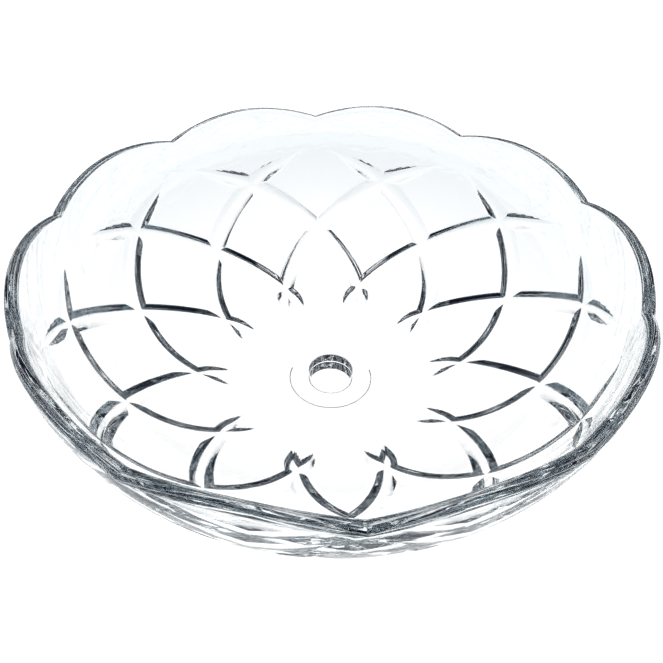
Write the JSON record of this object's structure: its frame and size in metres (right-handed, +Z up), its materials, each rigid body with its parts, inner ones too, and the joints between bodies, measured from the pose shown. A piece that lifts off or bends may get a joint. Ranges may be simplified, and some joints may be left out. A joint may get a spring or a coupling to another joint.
{
  "type": "pressed glass dish",
  "caption": "Shallow clear pressed-glass dish with a scalloped rim, a lattice of V-grooves under the bowl and a round hole through the middle of its floor.",
  "frame": {"origin": "middle of the foot's sole, on the dish's axis", "axes": "+Z up along the dish's axis, out of the bowl's mouth; +Y points at a notch of the rim and +X at the middle of a lobe"},
  "size_m": [0.14, 0.1392, 0.0441],
  "materials": {
    "glass": "clear, fire-polished"
  },
  "bodies": {
    "root": {"glass_dish": "glass"}
  },
  "joints": []
}
